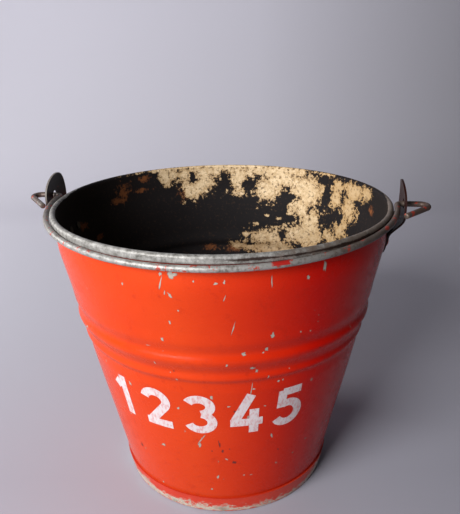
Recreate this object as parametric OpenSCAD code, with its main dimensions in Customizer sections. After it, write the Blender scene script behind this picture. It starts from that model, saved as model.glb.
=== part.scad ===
// Fire bucket: a tapered sheet-metal pail with a wired rim, pressed ribs,
// a foot hoop, two dished ears and a wire bail that swings over the mouth.
// Millimetres. Z is up, Z = 0 is the floor, the bail hinges about an X-parallel line.
// The bail lies at the front (-Y) in this file, its rest position.

/* [Body] */
// Height of the whole body, floor to the top of the rim bead
body_height = 270; // [240:1:300]
// Diameter across the centre line of the rim bead
rim_diameter = 300; // [280:1:320]
// Outer diameter of the cone where it would meet the floor
cone_foot_diameter = 195.6; // [180:0.2:204]
// Thickness of the body sheet
sheet = 1.0; // [0.8:0.1:1.2]
// Height of the lower edge of the body sheet above the floor
sheet_lower_edge = 5; // [4.8:0.1:6]
// Width of the folded seam down the back
seam_width = 9; // [6:0.5:12]
// How far the folded seam stands out from the sheet
seam_height = 1.2; // [0.8:0.1:1.6]

/* [Rim] */
// Diameter of the wire inside the rim bead
rim_wire = 3; // [2.6:0.1:3.4]
// Radial play between the rim wire and the sheet curled over it
rim_wire_play = 0.03; // [0.02:0.01:0.06]
// Drop from the bead centre down to the lip where the curled edge ends
lip_drop = 3.8; // [3.2:0.1:4]
// How far the cone, carried on up to the rim, would stand outside the upright neck
neck_step = 5.7; // [4.5:0.1:6.5]
// Length over which the cone bends into the upright neck under the bead
neck_bend = 13; // [8:0.5:16]

/* [Ribs] */
// Height of the bottom groove above the floor
groove_low = 154.3; // [148:0.1:157]
// Height of the middle groove above the floor
groove_middle = 165; // [162:0.1:170]
// Height of the top groove above the floor
groove_high = 184.5; // [181:0.1:188]
// Depth of the grooves
groove_depth = 0.9; // [0.2:0.1:1.2]
// Height of the narrow lower ridge above the floor
ridge_low = 159.6; // [158.5:0.1:160.5]
// How far the narrow lower ridge stands out
ridge_low_swell = 0.9; // [0.2:0.1:1.4]
// Height of the broad main ridge above the floor
ridge_main = 177; // [173:0.1:178]
// How far the broad main ridge stands out
ridge_main_swell = 2.1; // [0.4:0.1:2.4]
// Height of the faint upper ridge above the floor
ridge_high = 194.5; // [192:0.1:198]
// How far the faint upper ridge stands out
ridge_high_swell = 0.5; // [0.1:0.1:1]
// Length over which the ribs fade into the plain cone
rib_fade = 11; // [8:0.5:14]

/* [Bottom and foot] */
// Height of the upper face of the bottom plate above the floor
bottom_level = 10; // [9:0.1:10.4]
// Thickness of the bottom plate
bottom_sheet = 1.0; // [0.8:0.1:1.2]
// Play between the bottom plate's flange and the body
bottom_play = 0.03; // [0.02:0.01:0.06]
// Height of the foot hoop
hoop_height = 18; // [17.4:0.2:22]
// Thickness of the hoop strip
hoop_sheet = 1.4; // [1.2:0.1:1.6]
// Play between the hoop and the body it is fitted over
hoop_play = 0.03; // [0.02:0.01:0.06]
// Outer radius of the rolled lower edge of the hoop
hoop_roll = 2.4; // [2.2:0.1:2.4]
// How much of the rolled edge is worn flat on the floor
hoop_wear = 0.2; // [0.1:0.05:0.4]
// Length of the lap where the hoop's ends meet, measured round the foot
hoop_lap = 16; // [12:1:22]
// Height of the hoop's rivet above the floor
hoop_rivet_level = 13.9; // [13.8:0.1:14.1]
// Diameter of the hoop rivet's shank
hoop_rivet_shank = 3; // [2.6:0.1:3.2]
// Diameter of the hoop rivet's head
hoop_rivet_head = 6; // [5.4:0.1:6.2]

/* [Ears] */
// Height of the bail hinge line above the bead's top
hinge_rise = -1; // [-2:0.1:1]
// Thickness of the ear plates
ear_sheet = 1.6; // [1.2:0.1:2]
// Radius of the round upper part of an ear about its hole
ear_radius = 21.5; // [20:0.1:21.5]
// Radius of the round lower end of an ear
ear_foot_radius = 22; // [20:0.1:22.4]
// Distance from the ear's hole down to the centre of its lower end
ear_length = 22.5; // [21.5:0.5:24]
// Diameter of the hole that the bail hooks through
ear_hole = 9.5; // [8.5:0.1:10.5]
// Room between the bail wire and the dished inside of the ear
ear_room = 3.4; // [2.8:0.1:3.8]
// How far the ear's top edge leans back in from its dished middle
ear_lean = 4; // [0:0.5:4]
// Play between the ear's lower end and the body
ear_play = 0.03; // [0.02:0.01:0.06]
// Distance between the two rivets of an ear
ear_rivet_spacing = 17; // [14:0.5:20]
// Height of the ear's rivets above the centre of its lower end, negative is below
ear_rivet_rise = -10; // [-12:0.5:-9]
// Diameter of the ear rivets' shanks
ear_rivet_shank = 4; // [3.6:0.1:4.4]
// Diameter of the ear rivets' heads
ear_rivet_head = 7.6; // [7:0.1:8]

/* [Rivet shapes] */
// Height of an outer rivet head as a share of its diameter
rivet_dome = 0.22; // [0.18:0.01:0.3]
// Thickness of the flattened inner end of a rivet
rivet_tail = 1.2; // [0.8:0.1:1.4]
// Radial play between a rivet's shank and its holes
rivet_play = 0.05; // [0.03:0.01:0.1]
// Play under a rivet's head and over its flattened end
rivet_seat = 0.03; // [0.02:0.01:0.05]

/* [Bail] */
// Diameter of the bail wire
bail_wire = 5; // [4.6:0.1:5.4]
// Room between the bail wire and the rim bead it swings past
bail_room = 0.45; // [0.4:0.05:0.6]
// Angle below level at which the stiff bail rests, just under the bead
bail_rest_angle = 2.8; // [2.6:0.1:3]
// Bend radius where the wire turns out through the ear's hole
eye_bend = 5; // [4.5:0.1:5.2]
// How far the left hook stands out past the outside of its ear
hook_reach_left = 19.3; // [18:0.1:21]
// How far the right hook stands out past the outside of its ear
hook_reach_right = 20.7; // [18:0.1:22]
// Bend radius of the hooks
hook_bend = 6.5; // [6:0.1:7]
// Angle that the hooks turn through
hook_turn = 131; // [128:1:134]
// Length of the hooks' straight free ends
hook_end = 30.5; // [26:0.5:30.5]

/* [Show] */
// Which piece to show

/* [Hidden] */
$fn = 96;
// Tiny overlap used so that cuts run clear through what they cut
eps = 0.5;
// Rim bead
bead_inner = rim_wire / 2 + rim_wire_play;
bead_outer = bead_inner + sheet;
bead_r = rim_diameter / 2;
bead_z = body_height - bead_outer;
neck_r = bead_r - bead_inner;
lip_z = bead_z - lip_drop;
// Outer surface of the plain cone
cone_slope = (neck_r + neck_step - cone_foot_diameter / 2) / body_height;
cone_tilt = atan(cone_slope);
function cone_r(z) = cone_foot_diameter / 2 + cone_slope * z;
neck_start = body_height - neck_step / cone_slope - neck_bend / 2;
// Heights where the sheet leaves the plain cone, with how far it does
STATIONS = [
    [sheet_lower_edge, 0],
    [groove_low - rib_fade, 0],
    [groove_low, -groove_depth],
    [ridge_low, ridge_low_swell],
    [groove_middle, -groove_depth],
    [ridge_main, ridge_main_swell],
    [groove_high, -groove_depth],
    [ridge_high, ridge_high_swell],
    [ridge_high + rib_fade, 0]
];
LAST = len(STATIONS) - 1;
// Steps between two stations: none where both lie on the plain cone
function steps(i) = STATIONS[i][1] == 0 && STATIONS[i + 1][1] == 0 ? 1 : 6;
function ease(t) = (1 - cos(180 * t)) / 2;
function mixed(a, b, t) = a + (b - a) * t;
function skin_at(i, t) =
    let (z = mixed(STATIONS[i][0], STATIONS[i + 1][0], t))
    [cone_r(z) + mixed(STATIONS[i][1], STATIONS[i + 1][1], ease(t)), z];
// Outer surface of the body sheet, from its lower edge up to the height of the rim wire
SKIN = [
    for (i = [0 : LAST - 1]) for (k = [0 : steps(i) - 1]) skin_at(i, k / steps(i)),
    for (k = [0 : 7]) let (t = k / 8)
        [cone_r(neck_start) + cone_slope * neck_bend * (t - t * t / 2), neck_start + neck_bend * t],
    [neck_r, neck_start + neck_bend],
    [neck_r, bead_z]
];
// The same line moved along its own normal, inward for a positive distance
function unit(v) = v / norm(v);
function along(list, i) = unit(list[min(i + 1, len(list) - 1)] - list[max(i - 1, 0)]);
function moved(list, d) = [
    for (i = [0 : len(list) - 1]) let (t = along(list, i)) list[i] + d * [-t[1], t[0]]
];
function arc(c, r, a, b, n) = [
    for (k = [0 : n]) c + r * [cos(mixed(a, b, k / n)), sin(mixed(a, b, k / n))]
];
function reversed(list) = [for (i = [len(list) - 1 : -1 : 0]) list[i]];
function above(list, z) = [for (p = list) if (p[1] >= z) p];
function below(list, z) = [for (p = list) if (p[1] <= z) p];

// Seam: follows the outer surface from the hoop to just under the bead
seam_low = hoop_height + 0.6;
seam_high = lip_z - 1;
SEAM_LINE = [
    [cone_r(seam_low), seam_low],
    for (p = SKIN) if (p[1] > seam_low + 1 && p[1] < seam_high - 1) p,
    [neck_r, seam_high]
];
seam_angle = seam_width / cone_r(body_height / 2) * 180 / PI;

// Foot hoop
hoop_gap = hoop_play / cos(cone_tilt);
hoop_skin = hoop_sheet / cos(cone_tilt);
roll_z = hoop_roll - hoop_wear;
roll_r = cone_r(roll_z) + hoop_gap + hoop_skin - hoop_roll;
roll_inner = hoop_roll - hoop_skin;
lap_angle = hoop_lap / cone_r(hoop_height) * 180 / PI;

// Bail and ears
hinge_z = body_height + hinge_rise;
bail_r = bead_r + bead_outer + bail_room + bail_wire / 2;
ear_inside = bail_r + bail_wire / 2 + ear_room;
ear_low_z = hinge_z - ear_length;
lug_top = ear_low_z - 2.5;
dish_low = hinge_z - 7;
dish_high = hinge_z + 3;
ear_top = hinge_z + ear_radius;
lug_gap = ear_play / cos(cone_tilt);
ear_base = cone_r(lug_top) + lug_gap;
EAR_INNER = [
    [cone_r(ear_low_z - ear_foot_radius - 2) + lug_gap, ear_low_z - ear_foot_radius - 2],
    for (k = [0 : 7])
        [mixed(ear_base, ear_inside, ease(k / 8)), mixed(lug_top, dish_low, k / 8)],
    [ear_inside, dish_low],
    for (k = [0 : 6])
        [ear_inside - ear_lean * pow(k / 6, 2), mixed(dish_high, ear_top + 1, k / 6)]
];
eye_x = sqrt(pow(bail_r + eye_bend, 2) - pow(eye_bend, 2));
eye_angle = asin(eye_bend / (bail_r + eye_bend));
function hook_x(reach) = ear_inside + ear_sheet + reach - hook_bend - bail_wire / 2;
rivet_z = ear_low_z + ear_rivet_rise;
rivet_turn = asin(ear_rivet_spacing / 2 / cone_r(rivet_z));

// Piece names, one solid or one set of like solids each

// Places something on the body's skin: height z, turn about Z, its own Z along the outward normal
module on_skin(z, turn) {
    rotate([0, 0, turn]) translate([cone_r(z), 0, z]) rotate([0, 90 + cone_tilt, 0]) children();
}

// A rivet: flattened end inside at -depth, domed head outside at +rise
module rivet(shank, head, depth, rise) {
    tail_r = head * 0.45;
    dome = head * rivet_dome;
    rotate_extrude() polygon(concat(
        [[0, -depth - rivet_tail], [tail_r - 0.3, -depth - rivet_tail], [tail_r, -depth - rivet_tail + 0.3],
         [tail_r, -depth], [shank / 2, -depth], [shank / 2, rise], [head / 2, rise], [head / 2, rise + 0.3]],
        [for (k = [1 : 5]) [head / 2 * cos(90 * k / 6), rise + 0.3 + (dome - 0.3) * sin(90 * k / 6)]],
        [[0, rise + dome]]
    ));
}

// Round holes through the body for one ear's rivets
module ear_rivet_holes(side) {
    for (s = [-1, 1])
        on_skin(rivet_z, side + s * rivet_turn)
            translate([0, 0, -4]) cylinder(r = ear_rivet_shank / 2 + rivet_play, h = 10);
}

module hoop_rivet_hole() {
    on_skin(hoop_rivet_level, 90)
        translate([0, 0, -4]) cylinder(r = hoop_rivet_shank / 2 + rivet_play, h = 12);
}

// Tapered wall with pressed ribs, its upright neck, the edge curled out over the rim wire, the back seam
module body_wall() {
    color("#d23a1e") difference() {
        union() {
            rotate_extrude() polygon(concat(
                SKIN,
                arc([bead_r, bead_z], bead_inner, 174, 0, 20),
                [[bead_r + bead_inner, lip_z + 0.5], [bead_r + bead_inner + 0.3, lip_z],
                 [bead_r + bead_outer - 0.3, lip_z], [bead_r + bead_outer, lip_z + 0.5]],
                arc([bead_r, bead_z], bead_outer, 0, 174, 24),
                reversed(moved(SKIN, sheet))
            ));
            rotate([0, 0, 90 - seam_angle / 2]) rotate_extrude(angle = seam_angle) polygon(concat(
                moved(SEAM_LINE, sheet / 2),
                reversed(moved(SEAM_LINE, -seam_height))
            ));
        }
        ear_rivet_holes(0);
        ear_rivet_holes(180);
        hoop_rivet_hole();
    }
}

// Steel wire sealed inside the rim curl
module rim_wire_ring() {
    color("#8d9094") translate([0, 0, bead_z])
        rotate_extrude() translate([bead_r, 0]) circle(r = rim_wire / 2);
}

// Flat bottom with its flange turned down inside the wall
module bottom_plate() {
    fit = (sheet + bottom_play) / cos(cone_tilt);
    thick = bottom_sheet / cos(cone_tilt);
    under = bottom_level - bottom_sheet;
    color("#2b2829") rotate_extrude() polygon([
        [0, under],
        [cone_r(under) - fit - thick, under],
        [cone_r(sheet_lower_edge) - fit - thick, sheet_lower_edge],
        [cone_r(sheet_lower_edge) - fit, sheet_lower_edge],
        [cone_r(bottom_level) - fit, bottom_level],
        [0, bottom_level]
    ]);
}

// Strip round the foot, its lower edge rolled in under the wall, its ends lapped at the back
module foot_hoop() {
    color("#c23a20") difference() {
        union() {
            rotate_extrude() polygon(concat(
                [[cone_r(hoop_height) + hoop_gap + hoop_skin, hoop_height]],
                [for (p = arc([roll_r, roll_z], hoop_roll, 0, -225, 24)) [p[0], max(0, p[1])]],
                reversed(arc([roll_r, roll_z], roll_inner, 0, -225, 24)),
                [[cone_r(hoop_height) + hoop_gap, hoop_height]]
            ));
            rotate([0, 0, 90 - lap_angle / 2]) rotate_extrude(angle = lap_angle) polygon([
                [cone_r(3) + hoop_gap + hoop_skin / 2, 3],
                [cone_r(3) + hoop_gap + 2 * hoop_skin, 3],
                [cone_r(hoop_height) + hoop_gap + 2 * hoop_skin, hoop_height],
                [cone_r(hoop_height) + hoop_gap + hoop_skin / 2, hoop_height]
            ]);
        }
        hoop_rivet_hole();
    }
}

// Rivet through the hoop's lap
module hoop_rivet() {
    color("#b9bcc0") on_skin(hoop_rivet_level, 90)
        rivet(hoop_rivet_shank, hoop_rivet_head, sheet + rivet_seat + 0.05,
              hoop_play + 2 * hoop_sheet + rivet_seat);
}

// Outline of an ear as seen from its side: a round top and a smaller round foot, joined by tangents
module ear_outline(depth) {
    tilt = asin((ear_radius - ear_foot_radius) / ear_length);
    linear_extrude(height = depth) polygon(concat(
        arc([0, 0], ear_radius, -tilt, 180 + tilt, 36),
        arc([0, -ear_length], ear_foot_radius, 180 + tilt, 360 - tilt, 28)
    ));
}

// One dished ear: lies on the wall at its foot, stands out round the bead, leans back in at its top
module ear() {
    start = cone_r(ear_low_z - ear_foot_radius) - 12;
    difference() {
        intersection() {
            rotate([0, 0, -12]) rotate_extrude(angle = 24)
                polygon(concat(reversed(moved(EAR_INNER, -ear_sheet)), EAR_INNER));
            translate([start, 0, hinge_z]) rotate([90, 0, 90]) ear_outline(ear_inside + 8 - start);
        }
        translate([ear_inside - 4, 0, hinge_z]) rotate([0, 90, 0]) cylinder(d = ear_hole, h = 10);
        ear_rivet_holes(0);
    }
}

module ear_right() {
    color("#3a2a28") ear();
}

module ear_left() {
    color("#3a2a28") rotate([0, 0, 180]) ear();
}

// Two rivets holding one ear
module ear_rivets(side) {
    for (s = [-1, 1])
        on_skin(rivet_z, side + s * rivet_turn)
            rivet(ear_rivet_shank, ear_rivet_head, sheet + rivet_seat + 0.07,
                  ear_play + ear_sheet + rivet_seat);
}

module ear_rivets_right() {
    color("#8a3a2c") ear_rivets(0);
}

module ear_rivets_left() {
    color("#8a3a2c") ear_rivets(180);
}

// One end of the bail in its own plane: bend out through the ear, reach, hook and free end.
// The two bends are a hair thinner than the straight lengths and start just inside them
module bail_end(reach) {
    thin = bail_wire - 0.04;
    eye_more = 0.25 / eye_bend * 180 / PI;
    hook_more = 0.25 / hook_bend * 180 / PI;
    translate([eye_x, eye_bend]) rotate([0, 0, 180 + eye_angle - eye_more])
        rotate_extrude(angle = 90 - eye_angle + 2 * eye_more)
            translate([eye_bend, 0]) circle(d = thin);
    translate([eye_x, 0, 0]) rotate([0, 90, 0]) cylinder(d = bail_wire, h = hook_x(reach) - eye_x);
    translate([hook_x(reach), hook_bend, 0]) rotate([0, 0, -90 - hook_more])
        rotate_extrude(angle = hook_turn + 2 * hook_more)
            translate([hook_bend, 0]) circle(d = thin);
    translate([hook_x(reach), hook_bend, 0]) rotate([0, 0, hook_turn - 90])
        translate([hook_bend, 0, 0]) rotate([-90, 0, 0]) rotate_extrude() polygon([
            [0, 0], [bail_wire / 2, 0], [bail_wire / 2, hook_end - 0.6],
            [bail_wire / 2 - 0.5, hook_end], [0, hook_end]
        ]);
}

// Wire bail, resting at the front just under the bead
module bail() {
    color("#b4b8bb") translate([0, 0, hinge_z]) rotate([bail_rest_angle, 0, 0])
        mirror([0, 1, 0]) {
            rotate([0, 0, eye_angle]) rotate_extrude(angle = 180 - 2 * eye_angle)
                translate([bail_r, 0]) circle(d = bail_wire);
            bail_end(hook_reach_right);
            mirror([1, 0, 0]) bail_end(hook_reach_left);
        }
}

body_wall();
rim_wire_ring();
bottom_plate();
foot_hoop();
hoop_rivet();
ear_left();
ear_right();
ear_rivets_left();
ear_rivets_right();
bail();
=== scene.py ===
# %% [markdown]
# An old railway fire bucket: a tapered steel pail, dipped in zinc, painted red
# outside and coated black inside, with a wire bail lying at the front.
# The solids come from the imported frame. This file dresses them: the sheet wall
# and the bail are remade as fine surfaces, since their curves catch the light,
# and every piece gets its finish.

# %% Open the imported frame
import math

import bpy
import numpy as np
from mathutils import Matrix, Vector


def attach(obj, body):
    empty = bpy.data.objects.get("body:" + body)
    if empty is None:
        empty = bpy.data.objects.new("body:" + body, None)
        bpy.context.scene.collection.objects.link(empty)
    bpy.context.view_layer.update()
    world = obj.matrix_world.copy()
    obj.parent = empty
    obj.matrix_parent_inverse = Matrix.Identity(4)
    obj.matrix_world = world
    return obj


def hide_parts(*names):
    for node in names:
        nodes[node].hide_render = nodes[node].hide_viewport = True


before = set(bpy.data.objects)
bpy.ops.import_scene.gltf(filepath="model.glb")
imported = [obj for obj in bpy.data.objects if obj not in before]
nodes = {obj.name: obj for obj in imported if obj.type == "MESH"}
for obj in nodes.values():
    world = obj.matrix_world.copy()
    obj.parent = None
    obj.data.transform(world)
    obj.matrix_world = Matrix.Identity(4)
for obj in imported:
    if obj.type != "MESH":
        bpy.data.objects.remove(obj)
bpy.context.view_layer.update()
print("solids in the frame:", ", ".join(sorted(nodes)))

# %% [markdown]
# All sizes below are metres, and a number times MM reads as millimetres. They
# repeat the ones that the solids were made with, so that the new surfaces lie
# where the solids lie.

# %% Sizes of the bucket
MM = 0.001
BODY_HEIGHT = 270 * MM
RIM_RADIUS = 150 * MM                 # centre line of the rim bead
SHEET = 1.0 * MM
CURL_INNER = 1.53 * MM                # inside radius of the curl, round the rim wire
BEAD = CURL_INNER + SHEET
BEAD_Z = BODY_HEIGHT - BEAD
LIP_Z = BEAD_Z - 3.8 * MM             # where the curled edge ends outside
FOOT_RADIUS = 97.8 * MM               # cone carried down to the floor
NECK_RADIUS = RIM_RADIUS - CURL_INNER
NECK_STEP = 5.7 * MM
NECK_BEND = 13 * MM
SLOPE = (NECK_RADIUS + NECK_STEP - FOOT_RADIUS) / BODY_HEIGHT
NECK_START = BODY_HEIGHT - NECK_STEP / SLOPE - NECK_BEND / 2
HINGE_Z = 269 * MM
LOW_EDGE = 5 * MM
HOOP_TOP = 18 * MM
RIBS_FROM, RIBS_TO = 142 * MM, 206 * MM


def cone_radius(z):
    """Outer radius of the plain cone at height z: a straight line."""
    return FOOT_RADIUS + SLOPE * z


lean = math.degrees(math.atan(SLOPE))
print(f"the wall leans out by {lean:.1f} degrees, and its neck starts {NECK_START / MM:.0f} mm up")

# %% [markdown]
# A photograph is matched by standing where the camera stood. The ears show
# that the bucket was turned by about ten degrees, and the rim and foot show
# that the lens looked down by about twenty. A camera could be placed by eye;
# here a least-squares fit to points on the rim, the foot and the sides gave
# its place and angles. The picture is upright, so the sensor's long side is
# its height.

# %% Camera
TURN = math.radians(9.8)
PITCH = math.radians(20.437)
YAW = math.radians(0.732)
ROLL = math.radians(-0.893)
DISTANCE = 523.7 * MM
EYE_HEIGHT = 407.4 * MM
SENSOR = 36.0
FRAME_HEIGHT_PX = 514
FOCAL_PX = 588.3


def turned(vector):
    """Turns a vector about Z from the photograph's front to the bucket's front."""
    return Matrix.Rotation(TURN, 3, "Z") @ Vector(vector)


eye = turned((0, -DISTANCE, EYE_HEIGHT))
ahead = turned((math.sin(YAW) * math.cos(PITCH), math.cos(YAW) * math.cos(PITCH), -math.sin(PITCH)))
level_right = turned((math.cos(YAW), -math.sin(YAW), 0))
level_up = level_right.cross(ahead)
right = math.cos(ROLL) * level_right + math.sin(ROLL) * level_up
up = -math.sin(ROLL) * level_right + math.cos(ROLL) * level_up
camera_data = bpy.data.cameras.new("camera")
camera_data.sensor_width = SENSOR
camera_data.lens = FOCAL_PX * SENSOR / FRAME_HEIGHT_PX
camera = bpy.data.objects.new("camera", camera_data)
bpy.context.scene.collection.objects.link(camera)
camera.matrix_world = Matrix((
    (right.x, up.x, -ahead.x, eye.x),
    (right.y, up.y, -ahead.y, eye.y),
    (right.z, up.z, -ahead.z, eye.z),
    (0, 0, 0, 1),
))
bpy.context.scene.camera = camera
print(f"lens {camera_data.lens:.1f} mm at {eye.length / MM:.0f} mm from the origin")

# %% [markdown]
# Every new surface is a grid of points that numpy works out at once, which is
# quick and follows a formula exactly. One helper turns such a grid into a
# mesh: it joins each point to its neighbours with four-sided faces, and can
# close the grid on itself in either direction.

# %% From a grid of points to a mesh


def grid_faces(rows, columns, wrap_rows=False, wrap_columns=False):
    """Corner numbers of the faces of a grid: each face takes a point, the next in
    its row, and the same two in the next row. A wrapped direction runs on to the start."""
    r = np.arange(rows if wrap_rows else rows - 1)
    c = np.arange(columns if wrap_columns else columns - 1)
    r, c = np.meshgrid(r, c, indexing="ij")
    r2, c2 = (r + 1) % rows, (c + 1) % columns
    corners = [r * columns + c, r * columns + c2, r2 * columns + c2, r2 * columns + c]
    return np.stack(corners, axis=-1).reshape(-1, 4)


def make_mesh(name, points, faces, flip=False):
    """Puts points (n, 3) and four-cornered faces (m, 4) into a new smooth-shaded object."""
    if flip:
        faces = faces[:, ::-1]
    mesh = bpy.data.meshes.new(name)
    mesh.vertices.add(len(points))
    mesh.vertices.foreach_set("co", np.ascontiguousarray(points, dtype=np.float32).ravel())
    mesh.loops.add(faces.size)
    mesh.loops.foreach_set("vertex_index", np.ascontiguousarray(faces, dtype=np.int32).ravel())
    mesh.polygons.add(len(faces))
    mesh.polygons.foreach_set("loop_start", np.arange(0, faces.size, 4, dtype=np.int32))
    mesh.polygons.foreach_set("use_smooth", np.ones(len(faces), dtype=bool))
    mesh.update(calc_edges=True)
    mesh.validate()
    piece = bpy.data.objects.new(name, mesh)
    bpy.context.scene.collection.objects.link(piece)
    print(f"{name}: {len(points)} points, {len(faces)} faces")
    return piece


def add_values(piece, name, values):
    """Stores one number for each point of a mesh, for its material to read."""
    layer = piece.data.attributes.new(name, "FLOAT", "POINT")
    layer.data.foreach_set("value", np.ascontiguousarray(values, dtype=np.float32).ravel())


print("a grid of 3 by 4 points has", len(grid_faces(3, 4)), "faces")

# %% [markdown]
# The body is one sheet of steel rolled into a cone. Pressed ribs stiffen it,
# and its top bends upright into a short neck, whose edge is curled out over a
# wire. The line of the sheet is worked out first. It could be drawn as a
# curve, but a list of rib heights is easier to correct: between two of them
# the line eases from one swell to the next like half a cosine wave.

# %% The sheet's line from foot to rim
RIB_STATIONS = np.array([
    (5.0, 0.0), (143.3, 0.0), (154.3, -0.9), (159.6, 0.9), (165.0, -0.9),
    (177.0, 2.1), (184.5, -0.9), (194.5, 0.5), (205.5, 0.0), (300.0, 0.0),
]) * MM


def eased(t):
    """Half a cosine wave from 0 to 1."""
    return (1 - np.cos(np.pi * t)) / 2


def sheet_radius(z):
    """Outer radius of the sheet at heights z: the cone with its ribs, then the bend,
    where the lean runs out evenly (a parabola), then the upright neck."""
    heights, amounts = RIB_STATIONS[:, 0], RIB_STATIONS[:, 1]
    i = np.clip(np.searchsorted(heights, z, side="right") - 1, 0, len(heights) - 2)
    t = np.clip((z - heights[i]) / (heights[i + 1] - heights[i]), 0, 1)
    ribbed = cone_radius(z) + amounts[i] + (amounts[i + 1] - amounts[i]) * eased(t)
    t = np.clip((z - NECK_START) / NECK_BEND, 0, 1)
    bent = cone_radius(NECK_START) + SLOPE * NECK_BEND * (t - t * t / 2)
    return np.where(z < NECK_START, ribbed, bent)


def spaced(start, stop, step):
    """Even steps from start to stop, stop left out."""
    return np.linspace(start, stop, max(2, round((stop - start) / step)), endpoint=False)


def wall_heights(plain, ribs, upper):
    """Heights from foot to rim, with one step for the plain cone, one for the ribs, one above them."""
    return np.concatenate([
        spaced(LOW_EDGE, RIBS_FROM, plain), spaced(RIBS_FROM, RIBS_TO, ribs),
        spaced(RIBS_TO, NECK_START, upper), spaced(NECK_START, BEAD_Z, upper * 0.7),
    ])


outer_z = wall_heights(5 * MM, 1.2 * MM, 4 * MM)
outer_r = sheet_radius(outer_z)
print(f"the outer line has {len(outer_z)} points")

# %% [markdown]
# The inner line is the outer one moved by the sheet's thickness at right
# angles. The curl joins the two: the sheet goes up inside, over the wire and
# down outside, and its edge hangs a little below the wire as a lip. Two
# numbers go with each point, because the finish changes along this line:
# whether it is on the bead, and how far round it lies. That one is 0 on the
# outside, runs from 0 to 1 over the top of the bead, and is 1.5 on the lining.

# %% Close the line round the rim


def shifted(r, z, distance):
    """Moves a line sideways: its direction from neighbour to neighbour is turned by
    a right angle, towards the axis, and each point goes that way by the distance."""
    dr, dz = np.gradient(r, z), 1
    length = np.hypot(dr, dz)
    return r - distance * dz / length, z + distance * dr / length


inner_z = wall_heights(6 * MM, 2.2 * MM, 2.6 * MM)
inner_r, inner_z = shifted(sheet_radius(inner_z), inner_z, SHEET)
under_turn = np.radians(np.linspace(176, 0, 8))
over_turn = np.radians(np.linspace(0, 180, 22))
lip_r = RIM_RADIUS + np.array([CURL_INNER, CURL_INNER + 0.3 * MM, BEAD - 0.3 * MM, BEAD, BEAD])
lip_z = LIP_Z + np.array([0.5, 0, 0, 0.5, 1.6]) * MM
ring_r = np.concatenate([outer_r, RIM_RADIUS + CURL_INNER * np.cos(under_turn), lip_r,
                         RIM_RADIUS + BEAD * np.cos(over_turn), inner_r[::-1]])
ring_z = np.concatenate([outer_z, BEAD_Z + CURL_INNER * np.sin(under_turn), lip_z,
                         BEAD_Z + BEAD * np.sin(over_turn), inner_z[::-1]])
counts = [len(part) for part in (outer_r, under_turn, lip_r, over_turn, inner_r)]
is_bead = np.repeat([0.0, 1.0, 1.0, 1.0, 0.0], counts)
inward = np.repeat([0.0, 0.0, 0.0, 1.0, 1.5], counts)
inward[is_bead * inward > 0] = over_turn / np.pi
print(f"the whole line has {len(ring_r)} points")

# %% [markdown]
# Turned once round the axis, the line becomes the wall. A real pail is never
# quite round: soft waves of a few tenths of a millimetre catch the light. A
# bump map could fake them, but only real waves bend the outline too. The
# folded seam at the back is a low flat ridge, and has finer columns of points.

# %% The wall
SEAM_FROM, SEAM_TO = 84, 96           # degrees round from +X; the back is at 90
SEAM_HALF = 4.5 * MM
SEAM_RISE = 1.2 * MM
SEAM_SIDE = 0.8 * MM                  # width of the slope along each side
SEAM_END = 2 * MM                     # length of the slope at each end
CALM_FOOT, CALM_RIM = 30 * MM, 246 * MM  # no waves below the one and above the other


def dents(angle, z):
    """Soft waves in the sheet: sines of the angle and height, fading out near the foot and the rim.
    Angles count on from one side of the seam, so that the waves don't jump beside it."""
    start = math.radians(SEAM_FROM)
    angle = (angle - start) % (2 * math.pi) + start
    wave = 0.30 * np.sin(3 * angle + 0.6 + 9 * z) + 0.20 * np.sin(5 * angle - 1.3 + 31 * z)
    wave += 0.13 * np.sin(11 * angle + 47 * z) * np.sin(60 * z + 0.5)
    fade = np.clip((z - CALM_FOOT) / (60 * MM), 0, 1) * np.clip((CALM_RIM - z) / (40 * MM), 0, 1)
    return wave * MM * fade


ring_angle = np.radians(np.concatenate([
    np.linspace(SEAM_TO, SEAM_FROM + 360, 384, endpoint=False),
    np.linspace(SEAM_FROM, SEAM_TO, 32, endpoint=False),
]))
angle, line = np.meshgrid(ring_angle, np.arange(len(ring_r)))
r, z, bead_here, inward_here = ring_r[line], ring_z[line], is_bead[line], inward[line]
r = r + dents(angle, z) * (1 - bead_here)
from_back = (angle - math.pi / 2 + math.pi) % (2 * math.pi) - math.pi
seam_side = np.abs(from_back) * r     # distance round the wall from the middle of the back
across = np.clip((SEAM_HALF - seam_side) / SEAM_SIDE, 0, 1)
lengthwise = np.clip((z - HOOP_TOP) / SEAM_END, 0, 1) * np.clip((LIP_Z - z) / SEAM_END, 0, 1)
r = r + SEAM_RISE * eased(across) * lengthwise * (1 - bead_here) * (inward_here == 0)
wall_points = np.stack([r * np.cos(angle), r * np.sin(angle), z], axis=-1).reshape(-1, 3)
wall = make_mesh("wall_sheet", wall_points, grid_faces(*r.shape, wrap_rows=True, wrap_columns=True))
add_values(wall, "bead", bead_here)
add_values(wall, "inward", inward_here)
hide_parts("body_wall")
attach(wall, "bucket")

# %% [markdown]
# The black lining has come away in patches. Noise alone would put them
# anywhere, so each patch is a soft oval placed on the unrolled wall: 1 at its
# middle, 0 at its edge, below 0 outside. The highest oval wins, and black
# islands cut back into it in the same way. The material later roughens these
# soft edges. Bearings are degrees, 0 at the front, 90 at the right ear and 180
# at the back; heights are millimetres.

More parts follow.
